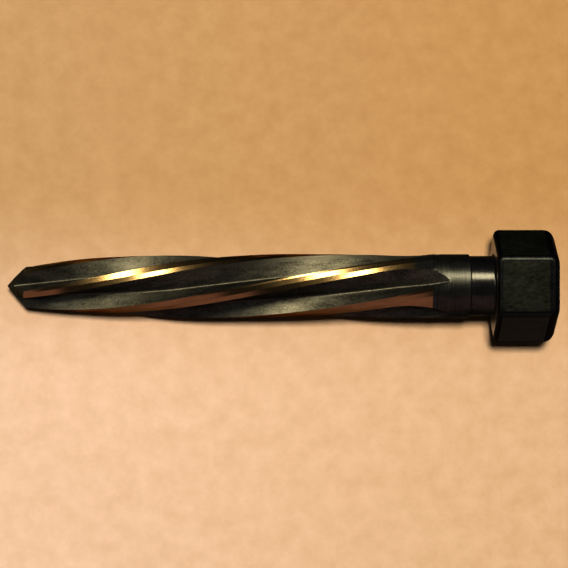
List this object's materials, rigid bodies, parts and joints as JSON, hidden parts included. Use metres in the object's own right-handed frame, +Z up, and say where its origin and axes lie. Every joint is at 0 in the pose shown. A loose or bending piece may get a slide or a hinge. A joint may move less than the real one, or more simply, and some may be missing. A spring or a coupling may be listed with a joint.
{
  "type": "car reamer",
  "caption": "Spiral-fluted steel reamer with a pointed, tapering nose, ground lands, a plain collar and a black hexagon drive head, for lining up and enlarging holes in structural plates.",
  "frame": {"origin": "on the table, under the middle of the tool's bounding box", "axes": "+X along the tool from its point to its head, +Z up; the tool lies as it comes to rest, its axis 3 degrees nose down"},
  "size_m": [0.203, 0.0414, 0.0373],
  "materials": {
    "tool_steel": "black oxide tool steel, with bright ground lands"
  },
  "bodies": {
    "root": {"reamer": "tool_steel"}
  },
  "joints": []
}
